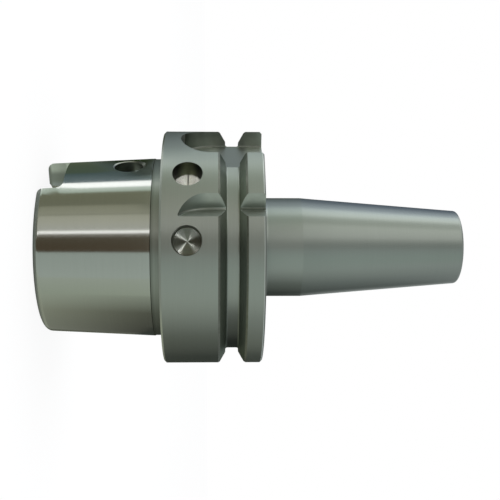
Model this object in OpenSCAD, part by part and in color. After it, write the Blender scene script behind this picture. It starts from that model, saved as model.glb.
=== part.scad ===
// Shrink-fit tool holder with a hollow 1:10 taper shank, size 63, form A.
// The origin is on the axis at the spindle face; +Z runs up the axis to the nose.
// It stands on the open end of its shank, with the keyways along the X axis.

/* [Taper shank] */
// Taper diameter at the gauge plane
gauge_d = 48.01; // [46:0.01:50]
// Distance of the gauge plane below the spindle face
gauge_drop = 6.3; // [4:0.1:9]
// Taper on the diameter, one in this many
taper_ratio = 10; // [8:0.5:14]
// Length of the shank below the spindle face
shank_l = 32; // [28:0.5:40]
// Rounding of the shank's small end
shank_round = 1.8; // [0.5:0.1:2.4]
// Length of the grinding relief between the taper and the face
relief_l = 2.7; // [1.8:0.1:4]
// Depth of the grinding relief below the taper
relief_depth = 0.15; // [0.1:0.05:0.8]
// Fillet at the root of the grinding relief
relief_fillet = 0.8; // [0.3:0.1:1]

/* [Flange] */
// Flange diameter
flange_d = 63; // [60:0.5:70]
// Length of the collar behind the gripper groove
back_collar_l = 14.625; // [12:0.125:20]
// Length of the collar in front of the gripper groove
front_collar_l = 4.625; // [3:0.125:8]
// Chamfer on the flange's outer edges
flange_chamfer = 0.5; // [0.2:0.1:1]
// Radial width of the recess between the taper and the contact face
face_recess_w = 2.2; // [1.8:0.1:4]
// Depth of the recess inside the contact face
face_recess_depth = 0.6; // [0.3:0.1:1]

/* [Gripper groove] */
// Width of the groove at the rim
groove_w = 6.75; // [6:0.05:8]
// Depth of the groove below the rim
groove_depth = 4; // [3:0.1:4.5]
// Angle between the groove's sloping walls
groove_angle = 60; // [50:1:70]
// Width of the straight-sided bottom of the groove
groove_floor_w = 3.6; // [3:0.1:4.5]
// Fillet between the groove's straight sides and its floor
groove_fillet = 0.6; // [0.2:0.1:0.8]
// Edge break where the groove meets the rim
groove_edge = 0.3; // [0.1:0.05:0.6]

/* [Flange keyways] */
// Width of the narrow keyway, on -X
narrow_key_w = 16; // [12:0.5:18]
// Width of the wide keyway, on +X
wide_key_w = 18; // [14:0.5:20]
// Depth of both keyways below the rim
key_depth = 5.3; // [4.2:0.1:8]
// Height of the keyways' round ends above the spindle face
key_end_z = 4.7; // [3:0.1:8]
// Fillet round the keyways' floors
key_fillet = 0.6; // [0.3:0.1:2]

/* [Index notch] */
// Depth of the notch's corner below the rim
notch_depth = 3.2; // [2:0.1:4.5]
// Diameter of the cutter that leaves the notch's round end
notch_cutter_d = 16; // [10:0.5:20]
// Height of the cutter's centre above the spindle face
notch_cutter_z = 11.4; // [9:0.1:16]
// Fillet along the notch's inner corner
notch_fillet = 0.6; // [0.3:0.1:2]

/* [Balance holes] */
// Diameter of the two milled balance holes
balance_d = 7.5; // [4:0.1:9]
// Depth of their flat bottom below the flange's outside
balance_depth = 5.2; // [2:0.1:9]
// Height of the holes above the spindle face
balance_z = 6.75; // [5:0.05:9]
// Angle between the two holes, shared about the index notch
balance_spread = 32.5; // [24:0.5:60]

/* [Shank cutouts] */
// Width of the two drive slots
drive_slot_w = 18; // [12:0.1:20]
// Depth of the drive slot under the narrow keyway
narrow_slot_depth = 6.7; // [4:0.1:9]
// Depth of the drive slot under the wide keyway
wide_slot_depth = 10; // [4:0.1:11]
// Corner radius of the drive slots
drive_slot_round = 1.9; // [0.5:0.1:3]
// Diameter of the two access holes through the shank's wall
access_d = 7.5; // [5:0.1:9]
// Distance of the access holes below the spindle face
access_drop = 9.15; // [8:0.05:12]
// Edge break round the access holes
access_chamfer = 0.5; // [0.2:0.1:0.8]

/* [Nose] */
// Gauge length, from the spindle face to the nose's tip
gauge_l = 80; // [70:1:120]
// Diameter of the nose at its root
nose_root_d = 27; // [24:0.5:34]
// Length of the nose's straight root in front of the flange
nose_root_l = 10.6; // [6:0.1:16]
// Diameter of the nose at its tip
nose_tip_d = 20; // [18:0.5:24]
// Rounding of the nose's tip
tip_round = 0.8; // [0.3:0.1:1.5]
// Fillet between the nose and the flange
root_fillet = 1.5; // [0.5:0.1:3]

/* [Tool bore] */
// Diameter of the shrink-fit bore
bore_d = 8; // [7:0.01:10]
// Depth of the bore from the nose's tip
bore_l = 46; // [36:0.5:52]
// Chamfer at the bore's mouth
bore_chamfer = 0.5; // [0.2:0.1:1]

/* [Shank cavity] */
// Diameter of the cavity's mouth
mouth_d = 34; // [30:0.5:36]
// Chamfer at the cavity's mouth
mouth_chamfer = 0.5; // [0.3:0.1:1.5]
// Step of the clamping shoulder, from the mouth out to the recess
clamp_step = 3; // [2:0.1:3.5]
// Slope of the clamping shoulder to the axis
clamp_angle = 30; // [25:1:45]
// Distance of the shoulder's middle below the spindle face
clamp_drop = 18.13; // [16:0.01:22]
// Distance of the cavity's floor below the spindle face
floor_drop = 4; // [2:0.1:5]
// Fillet round the cavity's floor
floor_fillet = 1.2; // [0.5:0.1:2]
// Diameter of the coolant tube's threaded hole
coolant_d = 17; // [14:0.1:20]
// Length of the coolant tube's threaded hole
coolant_l = 10; // [6:0.5:14]
// Chamfer at the mouth of the coolant tube's hole
coolant_chamfer = 1; // [0.4:0.1:1.5]
// Diameter of the coolant passage behind the length stop's thread
passage_d = 10; // [8:0.5:12]
// Length of the coolant passage
passage_l = 8; // [4:0.5:12]
// Core diameter of the length stop's threaded hole
stop_thread_d = 5; // [4:0.1:6]

/* [Hidden] */

$fn = 128;
arc_steps = 8;
drill_slope = tan(31);   // rise of a 118 degree drill point
over = 1;                // how far each cut runs past the surface that it opens

steel = [0.56, 0.58, 0.56];

flange_r = flange_d / 2;
flange_l = back_collar_l + groove_w + front_collar_l;
groove_slope = tan(groove_angle / 2);
groove_v_depth = (groove_w - groove_floor_w) / 2 / groove_slope;
groove_floor_r = flange_r - groove_depth;
groove_mid_z = back_collar_l + groove_w / 2;
key_floor_r = flange_r - key_depth;

nose_root_r = nose_root_d / 2;
nose_tip_r = nose_tip_d / 2;
cone_start_z = flange_l + nose_root_l;
cone_half_angle = atan((nose_root_r - nose_tip_r) / (gauge_l - cone_start_z));

taper_half_angle = atan(1 / (2 * taper_ratio));
relief_r = taper_r(-relief_l) - relief_depth;
contact_r = taper_r(0) + face_recess_w;

notch_corner = (flange_r - notch_depth) / sqrt(2);
notch_angle = 45;

mouth_r = mouth_d / 2;
recess_r = mouth_r + clamp_step;
clamp_rise = clamp_step / tan(clamp_angle);
clamp_start_z = -clamp_drop - clamp_rise / 2;
coolant_r = coolant_d / 2;
coolant_top_z = coolant_l - floor_drop;
passage_r = passage_d / 2;
passage_top_z = coolant_top_z + passage_l;
bore_r = bore_d / 2;
bore_end_z = gauge_l - bore_l;
stop_thread_r = stop_thread_d / 2;

// Radius of the shank's taper at height z
function taper_r(z) = gauge_d / 2 + (z + gauge_drop) / (2 * taper_ratio);

// Points of an arc about a centre, from angle a to angle b
function arc(centre, r, a, b) =
    [for (i = [0 : arc_steps]) let (t = a + (b - a) * i / arc_steps) centre + r * [cos(t), sin(t)]];

// The rounded edge of the shank's open end as [radius, height]
function shank_end_arc() =
    let (z = -shank_l + shank_round, r = taper_r(z) - shank_round / cos(taper_half_angle))
    arc([r, z], shank_round, -90, -taper_half_angle);

// The grinding relief and the recess inside the contact face
function relief_points() = concat(
    [[taper_r(-relief_l), -relief_l], [relief_r, -relief_l + relief_depth]],
    arc([relief_r + relief_fillet, face_recess_depth - relief_fillet], relief_fillet, 180, 90),
    [[contact_r - face_recess_depth, face_recess_depth], [contact_r, 0]]);

// One wall of the groove, from the rim in: side is -1 for the lower wall and 1 for the upper wall
function groove_wall(side) =
    let (
        rim_z = groove_mid_z + side * groove_w / 2,
        foot_z = groove_mid_z + side * groove_floor_w / 2,
        fillet_centre = [groove_floor_r + groove_fillet, foot_z - side * groove_fillet])
    concat(
        [[flange_r, rim_z + side * groove_edge],
         [flange_r - groove_edge, rim_z - side * groove_edge * groove_slope],
         [flange_r - groove_v_depth, foot_z]],
        arc(fillet_centre, groove_fillet, 180 - side * 90, 180));

// The same points in the opposite order
function reversed(points) = [for (i = [len(points) - 1 : -1 : 0]) points[i]];

function groove_points() = concat(groove_wall(-1), reversed(groove_wall(1)));

// The nose, from its root fillet to its rounded tip
function nose_points() =
    let (
        tip_z = gauge_l - tip_round,
        tip_centre_r = nose_tip_r + tip_round * (tan(cone_half_angle) - 1 / cos(cone_half_angle)))
    concat(
        arc([nose_root_r + root_fillet, flange_l + root_fillet], root_fillet, 270, 180),
        [[nose_root_r, cone_start_z]],
        arc([tip_centre_r, tip_z], tip_round, cone_half_angle, 90));

// The outside of the holder, from the shank's open end up to the nose's tip
module outside_profile() {
    polygon(concat(
        [[0, -shank_l]],
        shank_end_arc(),
        relief_points(),
        [[flange_r - flange_chamfer, 0], [flange_r, flange_chamfer]],
        groove_points(),
        [[flange_r, flange_l - flange_chamfer], [flange_r - flange_chamfer, flange_l]],
        nose_points(),
        [[0, gauge_l]]));
}

// The way through the holder: shank cavity, coolant thread, passage, length stop's thread and tool bore
module inside_profile() {
    polygon(concat(
        [[0, -shank_l - over],
         [mouth_r + mouth_chamfer + over, -shank_l - over],
         [mouth_r, -shank_l + mouth_chamfer],
         [mouth_r, clamp_start_z],
         [recess_r, clamp_start_z + clamp_rise]],
        arc([recess_r - floor_fillet, -floor_drop - floor_fillet], floor_fillet, 0, 90),
        [[coolant_r + coolant_chamfer, -floor_drop],
         [coolant_r, -floor_drop + coolant_chamfer],
         [coolant_r, coolant_top_z],
         [passage_r, coolant_top_z + (coolant_r - passage_r) * drill_slope],
         [passage_r, passage_top_z],
         [stop_thread_r, passage_top_z + (passage_r - stop_thread_r) * drill_slope],
         [stop_thread_r, bore_end_z - (bore_r - stop_thread_r) * drill_slope],
         [bore_r, bore_end_z],
         [bore_r, gauge_l - bore_chamfer],
         [bore_r + bore_chamfer + over, gauge_l + over],
         [0, gauge_l + over]]));
}

// One side of an end mill as [radius, height], from its rounded corner to its top
function end_mill_side(d, corner, h) =
    concat(arc([d / 2 - corner, corner], corner, -90, 0), [[d / 2, h]]);

// What an end mill clears when it stands along +X and then leaves upwards, open at the top
module milled_slot(d, corner, h, run) {
    side = end_mill_side(d, corner, h);
    rotate([0, 90, 0]) rotate_extrude() polygon(concat([[0, 0]], side, [[0, h]]));
    linear_extrude(run)
        polygon(concat([for (p = side) [p.y, p.x]], reversed([for (p = side) [p.y, -p.x]])));
}

// A keyway in the flange's rim, open to the front, cut on the side that +X faces
module keyway(w) {
    centre_z = key_end_z + w / 2;
    translate([key_floor_r, 0, centre_z])
        milled_slot(w, key_fillet, key_depth + over, flange_l + over - centre_z);
}

// The index notch: the corner of an end mill held parallel to the keyway
module index_notch() {
    reach = flange_r + over - notch_corner;
    run = flange_l + over - notch_cutter_z;
    translate([notch_corner, notch_corner + notch_cutter_d / 2, notch_cutter_z])
        milled_slot(notch_cutter_d, notch_fillet, reach, run);
}

// A milled hole with a flat bottom, on the side that +X faces
module balance_hole() {
    bottom_r = flange_r - balance_depth;
    translate([bottom_r, 0, balance_z]) rotate([0, 90, 0])
        cylinder(d = balance_d, h = balance_depth + over);
}

// A slot across the wall of the shank's open end, on the side that +X faces
module drive_slot(depth) {
    reach = taper_r(-shank_l + depth) + over;
    half_w = drive_slot_w / 2;
    translate([0, -half_w, -shank_l - over])
        cube([reach, drive_slot_w, depth + over - drive_slot_round]);
    translate([0, -half_w + drive_slot_round, -shank_l - over])
        cube([reach, drive_slot_w - 2 * drive_slot_round, depth + over]);
    for (side = [-1, 1])
        translate([0, side * (half_w - drive_slot_round), -shank_l + depth - drive_slot_round])
            rotate([0, 90, 0]) cylinder(r = drive_slot_round, h = reach);
}

// A hole through the shank's wall with a broken edge, on the side that +X faces
module access_hole() {
    rim_r = taper_r(-access_drop);
    translate([0, 0, -access_drop]) rotate([0, 90, 0]) {
        cylinder(d = access_d, h = rim_r + over);
        translate([0, 0, rim_r - access_chamfer])
            cylinder(d1 = access_d, d2 = access_d + 2 * (access_chamfer + over), h = access_chamfer + over);
    }
}

module holder_body() {
    color(steel) difference() {
        rotate_extrude() difference() {
            outside_profile();
            inside_profile();
        }
        rotate(180) {
            keyway(narrow_key_w);
            drive_slot(narrow_slot_depth);
            access_hole();
            index_notch();
            for (side = [-1, 1])
                rotate(notch_angle + side * balance_spread / 2) balance_hole();
        }
        keyway(wide_key_w);
        drive_slot(wide_slot_depth);
        access_hole();
    }
}

holder_body();
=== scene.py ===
import math

import bpy
from mathutils import Matrix, Vector


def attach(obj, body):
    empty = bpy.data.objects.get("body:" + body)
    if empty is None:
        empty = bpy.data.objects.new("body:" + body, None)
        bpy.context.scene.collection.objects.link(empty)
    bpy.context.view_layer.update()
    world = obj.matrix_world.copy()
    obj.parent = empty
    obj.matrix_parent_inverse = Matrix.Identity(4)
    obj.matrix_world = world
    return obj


# Shrink fit tool holder standing on its shank. Lengths are in metres and the axis is Z.

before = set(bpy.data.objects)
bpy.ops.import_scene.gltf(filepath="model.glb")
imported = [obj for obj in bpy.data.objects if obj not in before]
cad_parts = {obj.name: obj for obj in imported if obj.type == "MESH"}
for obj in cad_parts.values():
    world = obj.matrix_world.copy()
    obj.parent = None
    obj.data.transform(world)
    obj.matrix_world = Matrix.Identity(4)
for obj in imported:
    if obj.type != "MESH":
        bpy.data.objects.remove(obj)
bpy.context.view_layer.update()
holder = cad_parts["holder_body"]
MM = 0.001

# Directions

CAMERA_AZIMUTH = math.radians(244.1)
TOWARD = Vector((math.cos(CAMERA_AZIMUTH), math.sin(CAMERA_AZIMUTH), 0.0))
SIDE = Vector((math.sin(CAMERA_AZIMUTH), -math.cos(CAMERA_AZIMUTH), 0.0))
AXIS = Vector((0.0, 0.0, 1.0))


def around(degrees):
    """Level direction at an angle from the front, turned toward the lit side."""
    angle = math.radians(degrees)
    return TOWARD * math.cos(angle) + SIDE * math.sin(angle)


# Sizes of the holder that its finishes follow

FLOOR_HEIGHT = -32.0 * MM
GAUGE_RADIUS = 24.005 * MM
GAUGE_HEIGHT = -6.3 * MM
TAPER_SLOPE = 0.05
RELIEF_LOW = -2.7 * MM
SHANK_ROUND_TOP = -30.1 * MM
MOUTH_REACH = 16.5 * MM
MOUTH_TOP = -21.0 * MM
ACCESS_LOW = -14.0 * MM
FLANGE_RADIUS = 31.5 * MM
FLANGE_TOP = 26.0 * MM
FLANGE_CORE = 12.0 * MM
BORE_REACH = 5.0 * MM
GROOVE_LOW = 14.625 * MM
GROOVE_HIGH = 21.375 * MM
GROOVE_MIDDLE = 18.0 * MM
KEYWAY_HALF = 9.5 * MM
NOTCH_LEFT = -28.0 * MM
NOTCH_RIGHT = -18.0 * MM
BALANCE_HEIGHT = 6.75 * MM
BALANCE_RADIUS = 3.75 * MM
BALANCE_DEPTH = 5.2 * MM
BALANCE_FLOOR = FLANGE_RADIUS - BALANCE_DEPTH
UPPER_BALANCE = math.radians(208.75)
LOWER_BALANCE = math.radians(241.25)
COOLANT_CORE = 8.5 * MM
STOP_CORE = 2.5 * MM
THREAD_PITCH = 1.0 * MM


# Materials


def add_node(tree, kind, **values):
    node = tree.nodes.new(kind)
    for key, value in values.items():
        setattr(node, key, value)
    return node


def marks_texture(tree, stretch):
    """Fine cutting marks: noise stretched along the cut."""
    place = add_node(tree, "ShaderNodeTexCoord")
    mapping = add_node(tree, "ShaderNodeMapping")
    mapping.inputs["Scale"].default_value = stretch
    noise = add_node(tree, "ShaderNodeTexNoise")
    noise.inputs["Scale"].default_value = 1.0
    noise.inputs["Detail"].default_value = 4.0
    tree.links.new(place.outputs["Object"], mapping.inputs["Vector"])
    tree.links.new(mapping.outputs["Vector"], noise.inputs["Vector"])
    return noise


def ring_tangent(tree, centre, direction):
    """Tangent that runs round a hole's own axis."""
    place = add_node(tree, "ShaderNodeTexCoord")
    offset = add_node(tree, "ShaderNodeVectorMath", operation="SUBTRACT")
    offset.inputs[1].default_value = centre
    cross = add_node(tree, "ShaderNodeVectorMath", operation="CROSS_PRODUCT")
    cross.inputs[0].default_value = direction
    unit = add_node(tree, "ShaderNodeVectorMath", operation="NORMALIZE")
    tree.links.new(place.outputs["Object"], offset.inputs[0])
    tree.links.new(offset.outputs["Vector"], cross.inputs[1])
    tree.links.new(cross.outputs["Vector"], unit.inputs[0])
    return unit.outputs["Vector"]


def steel(name, dark, light, roughness, grain, stretch, hole=None):
    """Bare steel with its own cutting marks."""
    material = bpy.data.materials.new(name)
    material.use_nodes = True
    tree = material.node_tree
    shader = tree.nodes["Principled BSDF"]
    shader.inputs["Metallic"].default_value = 1.0
    shader.inputs["Roughness"].default_value = roughness
    shader.inputs["Anisotropic"].default_value = grain
    shader.inputs["Anisotropic Rotation"].default_value = 0.25
    noise = marks_texture(tree, stretch)
    tones = add_node(tree, "ShaderNodeValToRGB")
    tones.color_ramp.elements[0].position = 0.3
    tones.color_ramp.elements[0].color = (*dark, 1.0)
    tones.color_ramp.elements[1].position = 0.7
    tones.color_ramp.elements[1].color = (*light, 1.0)
    tree.links.new(noise.outputs["Fac"], tones.inputs["Fac"])
    tree.links.new(tones.outputs["Color"], shader.inputs["Base Color"])
    if hole:
        tree.links.new(ring_tangent(tree, *hole), shader.inputs["Tangent"])
    elif grain:
        tangent = add_node(tree, "ShaderNodeTangent", direction_type="RADIAL", axis="Z")
        tree.links.new(tangent.outputs["Tangent"], shader.inputs["Tangent"])
    return material


TURNED_MARKS = (60.0, 60.0, 5200.0)
GROUND_MARKS = (40.0, 40.0, 2600.0)
MILLED_MARKS = (900.0, 900.0, 500.0)
TURNED_DARK = (0.342, 0.352, 0.337)
TURNED_LIGHT = (0.358, 0.368, 0.353)
finishes_and_shades = {}


def add_finish(key, dark, light, roughness, grain, marks):
    finishes_and_shades[key] = steel(key + "_steel", dark, light, roughness, grain, marks)


def turned_finish(key, dark=TURNED_DARK, light=TURNED_LIGHT, roughness=0.34, grain=0.5):
    """Steel with fine rings from the lathe."""
    add_finish(key, dark, light, roughness, grain, TURNED_MARKS)


def milled_finish(key, dark, light, roughness):
    """Steel with short marks and no grain."""
    add_finish(key, dark, light, roughness, 0.0, MILLED_MARKS)


# Several base tones below are painted light and shade, not the steel's own tone. Pale with painted
# light: the drive slots, the flange's lower edge, the access holes' edges, the keyway floors and the
# notch's lower strip. Dark with painted shade: the roundings at the groove and the notch, the relief,
# the balance holes' walls, the keyways' side walls, the flange's top edge and the fillets. The groove's
# two walls are a shaded and a lit copy of one turned steel.
turned_finish("turned")
turned_finish("collar")
add_finish("ground", (0.463, 0.468, 0.453), (0.478, 0.483, 0.468), 0.12, 0.3, GROUND_MARKS)
turned_finish("nose", (0.372, 0.387, 0.377), (0.388, 0.403, 0.393), roughness=0.3)
turned_finish("inside", (0.30, 0.31, 0.30), (0.36, 0.37, 0.355), roughness=0.42, grain=0.4)
milled_finish("shaded_rounding", (0.16, 0.165, 0.14), (0.20, 0.205, 0.18), 0.35)
turned_finish("groove_low", (0.28, 0.30, 0.275), (0.31, 0.33, 0.305))
turned_finish("groove_high", (0.35, 0.37, 0.335), (0.38, 0.40, 0.365))
turned_finish("groove_floor")
milled_finish("slot", (0.74, 0.765, 0.71), (0.79, 0.815, 0.76), 0.4)
turned_finish("face_edge", (0.59, 0.61, 0.57), (0.62, 0.64, 0.60))
turned_finish("relief", (0.28, 0.29, 0.265), (0.31, 0.32, 0.295))
milled_finish("hole_wall", (0.145, 0.16, 0.10), (0.17, 0.19, 0.12), 0.4)
milled_finish("lower_hole_wall", (0.12, 0.12, 0.10), (0.16, 0.16, 0.14), 0.4)
milled_finish("access", (0.35, 0.37, 0.34), (0.39, 0.41, 0.38), 0.4)
milled_finish("access_edge", (0.42, 0.43, 0.40), (0.47, 0.48, 0.45), 0.35)
milled_finish("notch_wall", (0.34, 0.35, 0.325), (0.39, 0.40, 0.375), 0.3)
milled_finish("cut", (0.25, 0.26, 0.235), (0.28, 0.29, 0.265), 0.3)
milled_finish("rim", (0.38, 0.39, 0.37), (0.42, 0.43, 0.41), 0.5)
turned_finish("edge", (0.24, 0.25, 0.235), (0.26, 0.27, 0.255))
milled_finish("key_floor", (0.72, 0.75, 0.70), (0.78, 0.81, 0.76), 0.4)
milled_finish("key_fillet", (0.30, 0.305, 0.28), (0.33, 0.335, 0.31), 0.65)
milled_finish("fillet", (0.27, 0.28, 0.265), (0.30, 0.31, 0.295), 0.34)
milled_finish("notch", (0.43, 0.45, 0.415), (0.48, 0.50, 0.465), 0.45)
turned_finish("mouth", (0.80, 0.82, 0.80), (0.88, 0.90, 0.88), roughness=0.3, grain=0.0)


# Painted shade and light: tones that change from place to place on the steel


def tone_mix(material, share, tone):
    """Lay another tone over the steel's own tone where the share is nought: painted shade and light, and
    the dark line on a hole's bottom.
    """
    tree = material.node_tree
    shader = tree.nodes["Principled BSDF"]
    plain_tone = shader.inputs["Base Color"].links[0].from_socket
    mix = add_node(tree, "ShaderNodeMix", data_type="RGBA")
    tone_inputs = [socket for socket in mix.inputs if socket.type == "RGBA"]
    tone_output = [socket for socket in mix.outputs if socket.type == "RGBA"][0]
    tone_inputs[0].default_value = (*tone, 1.0)
    tree.links.new(share, mix.inputs["Factor"])
    tree.links.new(plain_tone, tone_inputs[1])
    tree.links.new(tone_output, shader.inputs["Base Color"])


def eased(tree, value, start, end):
    """Share that eases from nought to one between two values."""
    edge = add_node(tree, "ShaderNodeMapRange", interpolation_type="SMOOTHSTEP")
    edge.inputs["From Min"].default_value = start
    edge.inputs["From Max"].default_value = end
    tree.links.new(value, edge.inputs["Value"])
    return edge.outputs["Result"]


def place_socket(tree, axis):
    """Place along one axis of the holder."""
    place = add_node(tree, "ShaderNodeTexCoord")
    axes = add_node(tree, "ShaderNodeSeparateXYZ")
    tree.links.new(place.outputs["Object"], axes.inputs["Vector"])
    return axes.outputs[axis]


def reach_socket(tree, middle):
    """Distance along the holder's axis from a middle."""
    offset = add_node(tree, "ShaderNodeMath", operation="SUBTRACT")
    offset.inputs[1].default_value = middle
    reach = add_node(tree, "ShaderNodeMath", operation="ABSOLUTE")
    tree.links.new(place_socket(tree, "Z"), offset.inputs[0])
    tree.links.new(offset.outputs[0], reach.inputs[0])
    return reach.outputs[0]


def side_socket(tree):
    """Place across the holder, toward its lit side."""
    place = add_node(tree, "ShaderNodeTexCoord")
    across = add_node(tree, "ShaderNodeVectorMath", operation="DOT_PRODUCT")
    across.inputs[1].default_value = SIDE
    tree.links.new(place.outputs["Object"], across.inputs[0])
    return across.outputs["Value"]


def shade_across(finish, start, end, tone):
    """Paint shade or light on a finish: another tone on the start side of a place across the holder."""
    tree = finishes_and_shades[finish].node_tree
    tone_mix(finishes_and_shades[finish], eased(tree, side_socket(tree), start * MM, end * MM), tone)


def shade_along(finish, axis, start, end, tone):
    """Paint shade or light on a finish: another tone on the start side of a place along one axis."""
    tree = finishes_and_shades[finish].node_tree
    tone_mix(finishes_and_shades[finish], eased(tree, place_socket(tree, axis), start * MM, end * MM), tone)


def shade_from_middle(finish, middle, start, end, tone):
    """Paint shade or light on a finish: another tone on the start side of a distance from a middle
    height.
    """
    tree = finishes_and_shades[finish].node_tree
    tone_mix(finishes_and_shades[finish], eased(tree, reach_socket(tree, middle), start * MM, end * MM), tone)


# Keyways and notch: painted shade darkens their round ends and the inner side of the notch's wall, and
# the notch's fillet has painted shade at both ends, so it is pale only at its middle

shade_along("cut", "Z", 4.5, 13.0, (0.09, 0.105, 0.085))
shade_along("key_floor", "Z", 4.5, 13.0, (0.20, 0.215, 0.19))
shade_along("notch_wall", "Z", 4.5, 12.0, (0.19, 0.21, 0.185))
shade_along("notch_wall", "X", -20.2, -23.4, (0.21, 0.23, 0.21))
shade_along("fillet", "Z", 5.0, 9.0, (0.09, 0.10, 0.09))
shade_along("fillet", "Z", 14.5, 10.5, (0.09, 0.10, 0.09))

# Shank: painted shade on the relief beside the flange, the rim of the open end, the drive slots and the
# access holes

shade_along("relief", "Z", -2.8, -1.6, (0.18, 0.19, 0.17))
shade_across("rim", 13.0, 6.0, (0.25, 0.26, 0.25))
shade_along("rim", "Z", -31.9, -31.3, (0.20, 0.21, 0.20))
shade_across("slot", 19.7, 21.4, (0.385, 0.40, 0.375))
shade_across("slot", 16.6, 18.6, (0.57, 0.59, 0.63))
shade_along("slot", "Z", -31.7, -31.0, (0.30, 0.31, 0.29))
shade_along("access", "Z", -12.0, -8.0, (0.20, 0.225, 0.195))
shade_along("access_edge", "Z", -6.5, -9.5, (0.065, 0.07, 0.06))

# Flange and nose: painted highlights on the edges of the flange and on one side of its front collar, and
# painted shade at the root of the nose

shade_across("face_edge", 19.0, 11.0, (0.29, 0.30, 0.29))
shade_across("collar", -26.0, -17.0, (0.50, 0.51, 0.48))
shade_along("edge", "Z", 25.56, 25.74, (0.80, 0.83, 0.80))
shade_along("nose", "Z", 30.0, 52.0, (0.338, 0.352, 0.343))

# Groove: painted light makes its walls paler on the lit side and painted shade darkens them beside the
# narrow keyway; its floor has painted shade toward the shaded side

GROOVE_LIT_TONES = {"groove_low": (0.37, 0.395, 0.365), "groove_high": (0.48, 0.51, 0.45)}
GROOVE_TINT = (0.36, 0.40, 0.36, 1.0)
KEYWAY_SHADE = (0.15, 0.165, 0.15)
for wall, lit_tone in GROOVE_LIT_TONES.items():
    wall_shader = finishes_and_shades[wall].node_tree.nodes["Principled BSDF"]
    wall_shader.inputs["Specular Tint"].default_value = GROOVE_TINT
    shade_across(wall, 10.0, -2.0, lit_tone)
    shade_across(wall, 24.0, 16.0, KEYWAY_SHADE)
shade_across("groove_floor", -17.5, -12.5, (0.245, 0.25, 0.24))
shade_across("groove_floor", -27.0, -21.0, (0.06, 0.065, 0.06))

# Painted shade: the upper balance hole's wall is darker at its two ends, and the keyway's floor is
# darker where it crosses the groove

shade_from_middle("hole_wall", BALANCE_HEIGHT, 2.8, 0.6, (0.025, 0.03, 0.02))
shade_from_middle("key_floor", GROOVE_MIDDLE, 2.6, 4.6, (0.35, 0.36, 0.345))


# Which finish, with its painted light and shade, each face of the holder has

# Bands beside an edge or a surface that a face's middle may lie in
TAPER_BAND = 0.25 * MM
RELIEF_DEPTH_BAND = 1.0 * MM
RELIEF_LENGTH_BAND = 0.8 * MM
RIM_BAND = 2.0 * MM
EDGE_BAND = 0.6 * MM
HOLE_EDGE_BAND = 0.3 * MM
HOLE_WALL_BAND = 0.05 * MM
GROOVE_BAND = 0.1 * MM

# The ground taper reaches less far round the rim on the lit side
RIM_SIDE = 7.0 * MM
GROUND_OUTWARD = 0.93
LIT_GROUND_OUTWARD = 0.98

# A face on the flange's outside that points out at least this much is on a collar
COLLAR_OUTWARD = 0.97


def hole_frame(azimuth):
    """Middle of a balance hole on the holder's axis, and the way the hole faces."""
    direction = Vector((math.cos(azimuth), math.sin(azimuth), 0.0))
    return AXIS * BALANCE_HEIGHT, direction


def balance_wall(point):
    """Finish of the balance hole that holds a place, if one does."""
    for azimuth, finish in ((UPPER_BALANCE, "hole_wall"), (LOWER_BALANCE, "lower_hole_wall")):
        centre, direction = hole_frame(azimuth)
        offset = point - centre
        along = offset.dot(direction)
        if along > 0.0 and (offset - direction * along).length < BALANCE_RADIUS + HOLE_WALL_BAND:
            return finish
    return None


def shank_finish(point, radius, outward):
    height = point.z
    taper = GAUGE_RADIUS + (height - GAUGE_HEIGHT) * TAPER_SLOPE
    ground_limit = GROUND_OUTWARD if point.dot(SIDE) < RIM_SIDE else LIT_GROUND_OUTWARD
    if abs(radius - taper) < TAPER_BAND and outward > ground_limit and height < RELIEF_LOW:
        return "ground"
    if outward > 0.3 and radius > taper - RELIEF_DEPTH_BAND and height > RELIEF_LOW - RELIEF_LENGTH_BAND:
        return "relief"
    if height < SHANK_ROUND_TOP and outward > 0.0 and radius > taper - RIM_BAND:
        return "rim"
    if outward < -0.6 or radius < MOUTH_REACH:
        return "mouth" if height < MOUTH_TOP else "inside"
    if height > ACCESS_LOW:
        return "access_edge" if radius > taper - EDGE_BAND else "access"
    return "slot"


def outside_finish(height, outward):
    """Finish of the flange's outside: its collars and their edges."""
    if height < EDGE_BAND and outward < COLLAR_OUTWARD:
        return "face_edge"
    if outward > COLLAR_OUTWARD:
        return "turned" if height < GROOVE_MIDDLE else "collar"
    if height > FLANGE_TOP - EDGE_BAND:
        return "edge"
    if min(abs(height - GROOVE_LOW), abs(height - GROOVE_HIGH)) < EDGE_BAND:
        return "shaded_rounding"
    return None


def cut_finish(point, normal):
    """Finish of the keyways and the index notch."""
    in_notch = NOTCH_LEFT < point.y < NOTCH_RIGHT and point.x < 0.0
    rounded = 0.2 < abs(normal.x) < 0.95
    if in_notch and rounded:
        return "fillet" if normal.x < -0.6 else "shaded_rounding"
    if in_notch:
        return "notch" if normal.x < -0.9 else "notch_wall"
    if rounded:
        return "key_fillet"
    return "key_floor" if abs(normal.x) > 0.95 else "cut"


def flange_finish(point, normal, radius, outward):
    height = point.z
    hole_finish = balance_wall(point)
    if hole_finish and radius < FLANGE_RADIUS - HOLE_EDGE_BAND:
        return hole_finish
    if radius > FLANGE_RADIUS - EDGE_BAND and outward > 0.6:
        finish = outside_finish(height, outward)
        if finish:
            return finish
    square = abs(normal.z) < 0.1 and max(abs(normal.x), abs(normal.y)) > 0.995
    if abs(point.y) < KEYWAY_HALF and square:
        return "key_floor" if abs(normal.x) > 0.9 else "cut"
    if GROOVE_LOW - GROOVE_BAND < height < GROOVE_HIGH + GROOVE_BAND:
        if outward > 0.9:
            return "groove_floor"
        return "groove_low" if height < GROOVE_MIDDLE else "groove_high"
    if abs(normal.z) > 0.9:
        return "turned"
    return cut_finish(point, normal)


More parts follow.
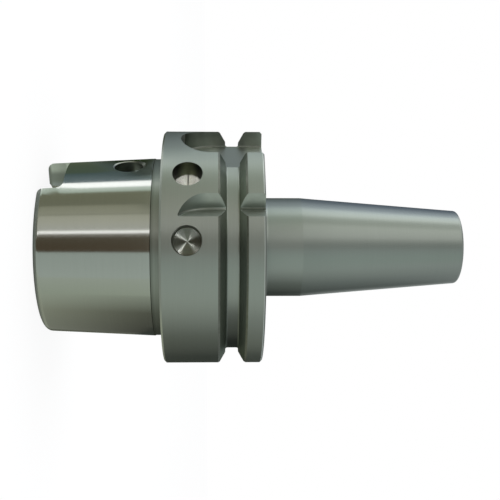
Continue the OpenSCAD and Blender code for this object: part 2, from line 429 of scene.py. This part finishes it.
def face_finish(point, normal):
    radius = math.hypot(point.x, point.y)
    outward = (normal.x * point.x + normal.y * point.y) / max(radius, 1e-9)
    if point.z < 0.0:
        return shank_finish(point, radius, outward)
    if point.z > FLANGE_TOP:
        return "nose" if radius > BORE_REACH else "inside"
    if radius < FLANGE_CORE:
        return "inside"
    return flange_finish(point, normal, radius, outward)


finish_and_shade_names = list(finishes_and_shades)
holder.data.materials.clear()
for finish_name in finish_and_shade_names:
    holder.data.materials.append(finishes_and_shades[finish_name])
for face in holder.data.polygons:
    face.material_index = finish_and_shade_names.index(face_finish(face.center, face.normal))


# Small steel pieces that fill in the holder's holes


def add_piece(name, points, faces, material, smooth=False):
    mesh = bpy.data.meshes.new(name)
    mesh.from_pydata(points, [], faces)
    if smooth:
        for face in mesh.polygons:
            face.use_smooth = True
    mesh.materials.append(material)
    piece = bpy.data.objects.new(name, mesh)
    bpy.context.scene.collection.objects.link(piece)
    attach(piece, "root")
    return piece


# Threads inside the bores, as helical ridges on the drilled cores

THREAD_STEPS = 64
RIDGE_HEIGHT = 0.5
RIDGE_FOOT = 0.44
RIDGE_CREST = 0.07
LEAST_RIDGE = 0.02


def thread(name, core_radius, low, high):
    """Ridge sized by the pitch, which runs out over its first and last turn."""
    rise = RIDGE_HEIGHT * THREAD_PITCH
    count = int((high - low) / THREAD_PITCH * THREAD_STEPS)
    points = []
    faces = []
    for step in range(count + 1):
        angle = 2.0 * math.pi * step / THREAD_STEPS
        height = low + THREAD_PITCH * step / THREAD_STEPS
        run_out = min(1.0, step / THREAD_STEPS, (count - step) / THREAD_STEPS)
        crest = core_radius - rise * max(run_out, LEAST_RIDGE)
        corners = (
            (core_radius, -RIDGE_FOOT),
            (crest, -RIDGE_CREST),
            (crest, RIDGE_CREST),
            (core_radius, RIDGE_FOOT),
        )
        for radius, shift in corners:
            x = radius * math.cos(angle)
            y = radius * math.sin(angle)
            points.append((x, y, height + shift * THREAD_PITCH))
    for step in range(count):
        for side in range(3):
            first = step * 4 + side
            faces.append((first, first + 1, first + 5, first + 4))
    add_piece(name, points, faces, finishes_and_shades["inside"])


thread("coolant_tube_thread", COOLANT_CORE, -2.6 * MM, 5.2 * MM)
thread("length_stop_thread", STOP_CORE, 15.0 * MM, 32.0 * MM)


# Milled bottoms of the balance holes, with the rings that the cutter leaves

RING_PITCH = 0.3 * MM
RING_RISE = 0.014 * MM
RING_COUNT = 96
SPOKE_COUNT = 96
BOTTOM_LIFT = 0.03 * MM
BOTTOM_ROUGHNESS = 0.25
BOTTOM_GRAIN = 0.9


def bottom_dark_line(material):
    """Dark line across the bottom, square to the holder's axis."""
    tree = material.node_tree
    reach = reach_socket(tree, BALANCE_HEIGHT)
    tone_mix(material, eased(tree, reach, 0.08 * MM, 0.30 * MM), (0.10, 0.09, 0.07))


def shade_wedges(material, centre, direction):
    """Painted shade on the sectors of the bottom between its bright arms."""
    tree = material.node_tree
    place = add_node(tree, "ShaderNodeTexCoord")
    offset = add_node(tree, "ShaderNodeVectorMath", operation="SUBTRACT")
    offset.inputs[1].default_value = centre + direction * BALANCE_FLOOR
    unit = add_node(tree, "ShaderNodeVectorMath", operation="NORMALIZE")
    axes = add_node(tree, "ShaderNodeSeparateXYZ")
    reach = add_node(tree, "ShaderNodeMath", operation="ABSOLUTE")
    tree.links.new(place.outputs["Object"], offset.inputs[0])
    tree.links.new(offset.outputs["Vector"], unit.inputs[0])
    tree.links.new(unit.outputs["Vector"], axes.inputs["Vector"])
    tree.links.new(axes.outputs["Z"], reach.inputs[0])
    tone_mix(material, eased(tree, reach.outputs[0], 0.97, 0.80), (0.13, 0.13, 0.11))
    across = add_node(tree, "ShaderNodeVectorMath", operation="DOT_PRODUCT")
    across.inputs[1].default_value = SIDE
    tree.links.new(unit.outputs["Vector"], across.inputs[0])
    tone_mix(material, eased(tree, across.outputs["Value"], -0.93, -0.72), (0.15, 0.15, 0.12))
    tone_mix(material, eased(tree, across.outputs["Value"], 0.99, 0.90), (0.22, 0.225, 0.20))


def hole_bottom(name, azimuth, dark, light, corner, lined=False):
    """Ringed disc on the flat bottom, set in from the wall by a corner."""
    centre, direction = hole_frame(azimuth)
    level = direction.cross(AXIS)
    radius = BALANCE_RADIUS - corner
    lift = BALANCE_FLOOR + BOTTOM_LIFT
    points = [centre + direction * lift]
    faces = []
    for ring in range(1, RING_COUNT + 1):
        reach = radius * ring / RING_COUNT
        wave = RING_RISE * math.sin(2.0 * math.pi * reach / RING_PITCH)
        for step in range(SPOKE_COUNT):
            angle = 2.0 * math.pi * step / SPOKE_COUNT
            spoke = AXIS * math.cos(angle) + level * math.sin(angle)
            points.append(centre + spoke * reach + direction * (lift + wave))
    for step in range(SPOKE_COUNT):
        faces.append((0, 1 + step, 1 + (step + 1) % SPOKE_COUNT))
    for ring in range(RING_COUNT - 1):
        inner = 1 + ring * SPOKE_COUNT
        outer = inner + SPOKE_COUNT
        for step in range(SPOKE_COUNT):
            after = (step + 1) % SPOKE_COUNT
            faces.append((inner + step, outer + step, outer + after, inner + after))
    material = steel(
        name + "_steel", dark, light, BOTTOM_ROUGHNESS, BOTTOM_GRAIN, MILLED_MARKS,
        hole=(centre, direction),
    )
    if lined:
        bottom_dark_line(material)
    else:
        shade_wedges(material, centre, direction)
    return add_piece(name, points, faces, material, smooth=True)


# The upper bottom's pale tone is painted light: it is a lit copy of the lower bottom's milled steel.
upper_bottom = hole_bottom(
    "upper_balance_hole_bottom", UPPER_BALANCE,
    (0.60, 0.59, 0.545), (0.68, 0.67, 0.62), 0.04 * MM, lined=True,
)
lower_bottom = hole_bottom(
    "lower_balance_hole_bottom", LOWER_BALANCE,
    (0.30, 0.305, 0.285), (0.34, 0.345, 0.325), 0.35 * MM,
)


# Floor and background

WHITE = (1.0, 1.0, 1.0, 1.0)
SOFT_LIGHT_TONE = (0.95, 0.97, 1.0, 1.0)
FLOOR_TONE = (0.92, 0.92, 0.92, 1.0)
FLOOR_HALF = 3.0
FLOOR_WHITE_SHARE = 0.9
SQUARE_CORNERS = ((-1, -1), (1, -1), (1, 1), (-1, 1))


def square_points(half, height):
    """Corners of a level square about the holder's axis."""
    return [(x * half, y * half, height) for x, y in SQUARE_CORNERS]


def plain_material(name):
    """Material with nothing in it yet but its output."""
    material = bpy.data.materials.new(name)
    material.use_nodes = True
    material.node_tree.nodes.clear()
    output = add_node(material.node_tree, "ShaderNodeOutputMaterial")
    return material, output


def white_rays(tree):
    """One for the rays that show the white background."""
    path = add_node(tree, "ShaderNodeLightPath")
    either = add_node(tree, "ShaderNodeMath", operation="MAXIMUM")
    any_ray = add_node(tree, "ShaderNodeMath", operation="MAXIMUM")
    tree.links.new(path.outputs["Is Camera Ray"], either.inputs[0])
    tree.links.new(path.outputs["Is Glossy Ray"], either.inputs[1])
    tree.links.new(either.outputs[0], any_ray.inputs[0])
    tree.links.new(path.outputs["Is Transmission Ray"], any_ray.inputs[1])
    return any_ray.outputs[0]


world = bpy.data.worlds.new("studio_world")
bpy.context.scene.world = world
world.use_nodes = True
world_tree = world.node_tree
world_tree.nodes.clear()
world_output = add_node(world_tree, "ShaderNodeOutputWorld")
world_mix = add_node(world_tree, "ShaderNodeMixShader")
soft_light = add_node(world_tree, "ShaderNodeBackground")
soft_light.inputs["Color"].default_value = SOFT_LIGHT_TONE
soft_light.inputs["Strength"].default_value = 1.0
white_light = add_node(world_tree, "ShaderNodeBackground")
white_light.inputs["Color"].default_value = WHITE
white_light.inputs["Strength"].default_value = 1.0
world_tree.links.new(white_rays(world_tree), world_mix.inputs["Fac"])
world_tree.links.new(soft_light.outputs[0], world_mix.inputs[1])
world_tree.links.new(white_light.outputs[0], world_mix.inputs[2])
world_tree.links.new(world_mix.outputs[0], world_output.inputs["Surface"])

floor_mesh = bpy.data.meshes.new("floor")
floor_mesh.from_pydata(square_points(FLOOR_HALF, FLOOR_HEIGHT), [], [(0, 1, 2, 3)])
floor = bpy.data.objects.new("floor", floor_mesh)
bpy.context.scene.collection.objects.link(floor)
floor_material, floor_output = plain_material("pale_floor")
floor_tree = floor_material.node_tree
floor_matt = add_node(floor_tree, "ShaderNodeBsdfDiffuse")
floor_matt.inputs["Color"].default_value = FLOOR_TONE
floor_glow = add_node(floor_tree, "ShaderNodeEmission")
floor_glow.inputs["Color"].default_value = WHITE
floor_glow.inputs["Strength"].default_value = 1.0
floor_share = add_node(floor_tree, "ShaderNodeMath", operation="MULTIPLY")
floor_share.inputs[1].default_value = FLOOR_WHITE_SHARE
floor_mix = add_node(floor_tree, "ShaderNodeMixShader")
floor_tree.links.new(white_rays(floor_tree), floor_share.inputs[0])
floor_tree.links.new(floor_share.outputs[0], floor_mix.inputs["Fac"])
floor_tree.links.new(floor_matt.outputs[0], floor_mix.inputs[1])
floor_tree.links.new(floor_glow.outputs[0], floor_mix.inputs[2])
floor_tree.links.new(floor_mix.outputs[0], floor_output.inputs["Surface"])
floor_mesh.materials.append(floor_material)
floor.visible_glossy = False


# Studio cards: upright panels round the holder that the steel mirrors

CARD_DISTANCE = 0.6
INNER_DISTANCE = CARD_DISTANCE * 0.98
FOOT_DISTANCE = CARD_DISTANCE * 0.97
OUTER_DISTANCE = CARD_DISTANCE * 1.01
FLAT_CARD_HALF = CARD_DISTANCE * 1.1
CARD_LOW = -0.8
CARD_HIGH = 0.8
CARD_SPLIT = -0.07
CARD_UPPER_SPLIT = 0.11
CARD_STEP_DEGREES = 3.0


def glow_paper(name, strength):
    """Card paper that glows in its own painted tone."""
    material, output = plain_material(name + "_paper")
    tone = add_node(material.node_tree, "ShaderNodeVertexColor", layer_name="tone")
    glow = add_node(material.node_tree, "ShaderNodeEmission")
    glow.inputs["Strength"].default_value = strength
    material.node_tree.links.new(tone.outputs["Color"], glow.inputs["Color"])
    material.node_tree.links.new(glow.outputs[0], output.inputs["Surface"])
    return material


def card_object(name, points, faces, tones, strength):
    mesh = bpy.data.meshes.new(name)
    mesh.from_pydata(points, [], faces)
    paint = mesh.color_attributes.new("tone", "FLOAT_COLOR", "POINT")
    for spot, tone in zip(paint.data, tones):
        spot.color = (*tone, 1.0)
    mesh.materials.append(glow_paper(name, strength))
    panel = bpy.data.objects.new(name, mesh)
    panel.visible_camera = False
    panel.visible_shadow = False
    panel.visible_diffuse = False
    bpy.context.scene.collection.objects.link(panel)


def card(
    name, start, end, start_tone, end_tone=None,
    low=CARD_LOW, high=CARD_HIGH, high_end=None, distance=CARD_DISTANCE, strength=1.0, foot_tones=None,
):
    """Upright card between two angles. Its tone runs along it, and up it where foot tones are given."""
    first_tone = Vector(start_tone)
    last_tone = Vector(end_tone or start_tone)
    first_foot, last_foot = [Vector(tone) for tone in foot_tones or (first_tone, last_tone)]
    last_high = high if high_end is None else high_end
    steps = max(1, int(abs(end - start) / CARD_STEP_DEGREES))
    points = []
    tones = []
    faces = []
    for step in range(steps + 1):
        share = step / steps
        foot = around(start + (end - start) * share) * distance
        top = high + (last_high - high) * share
        points.extend((foot + AXIS * low, foot + AXIS * top))
        tones.extend((first_foot.lerp(last_foot, share), first_tone.lerp(last_tone, share)))
    for step in range(steps):
        first = step * 2
        faces.append((first, first + 1, first + 3, first + 2))
    card_object(name, points, faces, tones, strength)


def low_card(name, start, end, start_tone, end_tone=None, strength=1.0):
    card(name, start, end, start_tone, end_tone, high=CARD_SPLIT, strength=strength)


def middle_card(name, start, end, start_tone, end_tone=None):
    card(name, start, end, start_tone, end_tone, low=CARD_SPLIT, high=CARD_UPPER_SPLIT)


def top_card(name, start, end, start_tone, end_tone=None):
    card(name, start, end, start_tone, end_tone, low=CARD_UPPER_SPLIT)


def flat_card(name, height, tone):
    """Level card that closes the ring of upright cards above or below."""
    corners = square_points(FLAT_CARD_HALF, height)
    card_object(name, corners, [(0, 1, 2, 3)], [tone] * len(corners), 1.0)


# Low cards give the ground taper its bands: first the front ones

low_card("low_front_gap", -6.5, 12.5, (0.108, 0.08, 0.05), (0.125, 0.108, 0.074))
low_card("low_front_edge", 12.5, 17.0, (0.20, 0.18, 0.14), (0.36, 0.35, 0.30))
low_card("low_front_strip", 17.0, 20.8, (1.0, 1.0, 0.97), strength=1.8)
card(
    "low_grey_panel", 20.8, 31.0, (0.66, 0.68, 0.61), (0.66, 0.67, 0.57),
    high=-0.078, high_end=-0.083,
)
card(
    "low_khaki_panel", 31.0, 41.4, (0.66, 0.67, 0.56), (0.60, 0.61, 0.49),
    high=-0.083, high_end=-0.091,
)
card(
    "low_khaki_line", 41.4, 42.8, (0.36, 0.37, 0.28),
    high=-0.091, high_end=-0.092,
)
card(
    "low_step_panel", 42.8, 55.0, (0.48, 0.49, 0.38), (0.40, 0.41, 0.30),
    high=-0.092, high_end=-0.104,
)
card(
    "low_front_panel_end", 20.0, 56.0, (0.24, 0.25, 0.18), (0.20, 0.21, 0.15),
    low=-0.2, high=CARD_SPLIT, distance=OUTER_DISTANCE,
)

# Low cards on the lit side and behind it, with dark upper ends toward the rear

DARK_END_FOOT = -0.115
DARK_END_SPLIT = -0.085
BLUE_TONE = (0.25, 0.325, 0.345)
BLUE_FOOT_TONE = (0.16, 0.22, 0.23)
FAR_TONE = (0.09, 0.11, 0.06)
low_card("low_olive_panel", 55.0, 75.0, (0.26, 0.27, 0.19), (0.26, 0.27, 0.18))
low_card("low_glow_panel", 75.0, 83.0, (0.62, 0.74, 0.62), (0.98, 1.12, 1.0))
low_card("low_key_strip", 83.0, 92.6, (1.0, 1.02, 1.01), strength=2.1)
card("low_blue_panel", 92.6, 114.0, BLUE_TONE, (0.098, 0.152, 0.152), high=DARK_END_FOOT)
card("low_rear_panel", 114.0, 180.0, (0.11, 0.155, 0.11), FAR_TONE, high=DARK_END_FOOT)
card(
    "low_blue_end", 92.6, 103.0, (0.21, 0.275, 0.28), (0.03, 0.05, 0.02),
    low=DARK_END_FOOT, high=CARD_SPLIT, foot_tones=(BLUE_TONE, BLUE_FOOT_TONE),
)
card(
    "low_green_end", 103.0, 180.0, (0.01, 0.02, 0.005),
    low=DARK_END_FOOT, high=DARK_END_SPLIT, foot_tones=(BLUE_FOOT_TONE, FAR_TONE),
)
card(
    "low_green_top", 103.0, 180.0, (0.025, 0.037, 0.015),
    low=DARK_END_SPLIT, high=CARD_SPLIT, high_end=-0.045, distance=INNER_DISTANCE,
)

# Low cards on the shaded side, with pale feet toward the rear

UNDER_FOOT = -0.21
UNDER_FOOT_START = (0.51, 0.575, 0.465)
UNDER_FOOT_MIDDLE = (0.43, 0.465, 0.36)
UNDER_FOOT_END = (0.36, 0.385, 0.31)
UNDER_MIDDLE = (0.098, 0.102, 0.077)
low_card("low_under_panel", -6.5, -40.0, (0.49, 0.565, 0.515), (0.55, 0.63, 0.57))
low_card("low_under_side", -40.0, -64.0, (0.54, 0.61, 0.52), (0.48, 0.55, 0.44))
card(
    "low_under_slope", -64.0, -92.0, (0.38, 0.43, 0.345), UNDER_MIDDLE,
    low=UNDER_FOOT, high=CARD_SPLIT, foot_tones=(UNDER_FOOT_START, UNDER_FOOT_MIDDLE),
)
card(
    "low_under_rear", -92.0, -150.0, UNDER_MIDDLE, (0.08, 0.083, 0.068),
    low=UNDER_FOOT, high=CARD_SPLIT, foot_tones=(UNDER_FOOT_MIDDLE, UNDER_FOOT_END),
)
card("low_under_slope_foot", -64.0, -92.0, UNDER_FOOT_START, UNDER_FOOT_MIDDLE, high=UNDER_FOOT)
card("low_under_rear_foot", -92.0, -150.0, UNDER_FOOT_MIDDLE, UNDER_FOOT_END, high=UNDER_FOOT)
low_card("low_far_rear", -150.0, -180.0, (0.14, 0.15, 0.12), FAR_TONE)

# Lowest cards, which stand inside the ring

EDGE_CARD_DARK = (0.12, 0.13, 0.12)
EDGE_CARD_LIGHT = (1.0, 1.08, 1.0)
EDGE_CARD_HIGH = -0.36
EDGE_CARD_STRENGTH = 2.3
card(
    "low_edge_rise", 112.0, 131.0, EDGE_CARD_DARK, EDGE_CARD_LIGHT,
    high=EDGE_CARD_HIGH, distance=INNER_DISTANCE, strength=EDGE_CARD_STRENGTH,
)
card(
    "low_edge_fall", 131.0, 150.0, EDGE_CARD_LIGHT, EDGE_CARD_DARK,
    high=EDGE_CARD_HIGH, distance=INNER_DISTANCE, strength=EDGE_CARD_STRENGTH,
)
card(
    "low_front_foot", 14.0, 56.0, (0.24, 0.25, 0.21), (0.24, 0.25, 0.20),
    high=-0.42, distance=FOOT_DISTANCE,
)

# Middle cards are broader, for the satin flange

middle_card("middle_front_gap", -5.0, 8.0, (0.57, 0.60, 0.54))
middle_card("middle_front_blend", 8.0, 20.0, (0.57, 0.595, 0.53), (0.64, 0.67, 0.595))
middle_card("middle_front_panel", 20.0, 50.0, (0.655, 0.685, 0.612), (0.61, 0.66, 0.558))
middle_card("middle_side_panel", 50.0, 80.0, (0.585, 0.655, 0.545), (0.63, 0.75, 0.63))
middle_card("middle_key_panel", 80.0, 104.0, (0.87, 1.02, 0.91), (0.83, 0.98, 0.94))
middle_card("middle_blue_panel", 104.0, 128.0, (0.62, 0.72, 0.70), (0.40, 0.47, 0.48))
middle_card("middle_rear_panel", 128.0, 156.0, (0.32, 0.38, 0.38), (0.12, 0.15, 0.14))
middle_card("middle_far_rear", 156.0, 180.0, (0.10, 0.12, 0.10), (0.05, 0.06, 0.05))
middle_card("middle_under_panel", -5.0, -22.0, (0.585, 0.65, 0.595), (0.64, 0.745, 0.67))
middle_card("middle_under_side", -22.0, -52.0, (0.66, 0.775, 0.69), (0.70, 0.795, 0.72))
middle_card("middle_under_slope", -52.0, -88.0, (0.665, 0.75, 0.675), (0.25, 0.28, 0.25))
middle_card("middle_under_rear", -88.0, -125.0, (0.22, 0.25, 0.21), (0.09, 0.10, 0.085))
middle_card("middle_under_far", -125.0, -180.0, (0.05, 0.06, 0.05), (0.04, 0.05, 0.04))

# Top cards are for the nose. The last two upright ones stand inside the ring

top_card("top_front_gap", -5.0, 8.0, (0.34, 0.38, 0.35))
top_card("top_front_blend", 8.0, 20.0, (0.40, 0.44, 0.40), (0.56, 0.60, 0.54))
top_card("top_front_panel", 20.0, 56.0, (0.77, 0.81, 0.745), (0.94, 1.0, 0.895))
top_card("top_side_panel", 56.0, 78.0, (0.60, 0.65, 0.56), (0.64, 0.70, 0.62))
top_card("top_key_panel", 78.0, 104.0, (1.30, 1.39, 1.26), (1.32, 1.47, 1.47))
top_card("top_blue_panel", 104.0, 134.0, (0.76, 0.86, 0.94), (0.28, 0.34, 0.40))
top_card("top_rear_panel", 134.0, 160.0, (0.22, 0.27, 0.33), (0.10, 0.13, 0.17))
top_card("top_far_rear", 160.0, 180.0, (0.08, 0.10, 0.12), (0.05, 0.06, 0.07))
top_card("top_under_panel", -5.0, -30.0, (0.42, 0.48, 0.45), (0.45, 0.54, 0.49))
top_card("top_under_side", -30.0, -60.0, (0.44, 0.53, 0.48), (0.46, 0.54, 0.49))
top_card("top_under_slope", -60.0, -92.0, (0.44, 0.51, 0.46), (0.29, 0.335, 0.31))
top_card("top_under_rear", -92.0, -140.0, (0.265, 0.31, 0.29), (0.12, 0.14, 0.13))
top_card("top_under_far", -140.0, -180.0, (0.24, 0.27, 0.26), (0.60, 0.65, 0.63))
card(
    "tip_under_slope", -50.0, -150.0, (0.50, 0.56, 0.53), (0.42, 0.46, 0.45),
    low=0.27, distance=INNER_DISTANCE,
)
card(
    "top_edge_panel", 60.0, 150.0, (1.0, 1.06, 1.02), (1.0, 1.05, 1.02),
    low=0.46, distance=INNER_DISTANCE, strength=1.1,
)
flat_card("ceiling_card", CARD_HIGH, (0.44, 0.47, 0.45))
flat_card("under_card", CARD_LOW, (0.28, 0.31, 0.28))


# Lamps: one broad soft box overhead, and small lamps for the balance holes

HOLE_LAMP_DISTANCE = 0.6
LOWER_LAMP_SIZE = 0.06
UPPER_LAMP_SIZE = 0.3

# Angles round the holder from which each flat bottom mirrors a lamp to the front
LOWER_MIRROR_LEVEL = 5.7
UPPER_MIRROR_LEVEL = 70.7


def soft_box(name, direction, distance, size, power):
    data = bpy.data.lights.new(name, "AREA")
    data.shape = "SQUARE"
    data.size = size
    data.energy = power
    lamp = bpy.data.objects.new(name, data)
    lamp.location = direction.normalized() * distance
    lamp.rotation_mode = "QUATERNION"
    lamp.rotation_quaternion = (-direction).to_track_quat("-Z", "Y")
    bpy.context.scene.collection.objects.link(lamp)
    return lamp


def level_and_rise(level, rise):
    """Direction at an angle round the holder and an angle above its level."""
    climb = math.radians(rise)
    return around(level) * math.cos(climb) + AXIS * math.sin(climb)


def hole_light(name, piece, level, rise, size, power):
    """Small lamp that lights only the bottom of one balance hole."""
    lamp = soft_box(name, level_and_rise(level, rise), HOLE_LAMP_DISTANCE, size, power)
    lamp.visible_camera = False
    lamp.data.use_shadow = False
    group = bpy.data.collections.new(name + "_receiver")
    group.objects.link(piece)
    lamp.light_linking.receiver_collection = group


overhead_box = soft_box("overhead_box", AXIS + SIDE * 0.35, 0.75, 0.5, 2.0)
overhead_box.visible_glossy = False
hole_light(
    "lower_hole_first_light", lower_bottom,
    LOWER_MIRROR_LEVEL - 12.0, 17.0, LOWER_LAMP_SIZE, 0.24,
)
hole_light(
    "lower_hole_second_light", lower_bottom,
    LOWER_MIRROR_LEVEL + 18.0, 12.0, LOWER_LAMP_SIZE, 0.27,
)
hole_light("upper_hole_light", upper_bottom, UPPER_MIRROR_LEVEL, 0.0, UPPER_LAMP_SIZE, 4.5)


# Camera

CAMERA_DISTANCE = 243.277 * MM
CAMERA_TILT = 0.037
CAMERA_AIM_HEIGHT = 23.102 * MM
CAMERA_SENSOR = 36.0
CAMERA_LENS = 63.494
CAMERA_SHIFT = -0.0059
camera_data = bpy.data.cameras.new("camera")
camera_data.sensor_width = CAMERA_SENSOR
camera_data.lens = CAMERA_LENS
camera_data.shift_y = CAMERA_SHIFT
camera_data.clip_start = 0.01
camera_data.clip_end = 20.0
camera = bpy.data.objects.new("camera", camera_data)
bpy.context.scene.collection.objects.link(camera)
right = AXIS * math.cos(CAMERA_TILT) + TOWARD * math.sin(CAMERA_TILT)
back = TOWARD * math.cos(CAMERA_TILT) - AXIS * math.sin(CAMERA_TILT)
camera_place = AXIS * CAMERA_AIM_HEIGHT + back * CAMERA_DISTANCE
camera_turn = Matrix((right, SIDE, back)).transposed().to_4x4()
camera.matrix_world = Matrix.Translation(camera_place) @ camera_turn
bpy.context.scene.camera = camera
bpy.context.scene.view_settings.view_transform = "Standard"
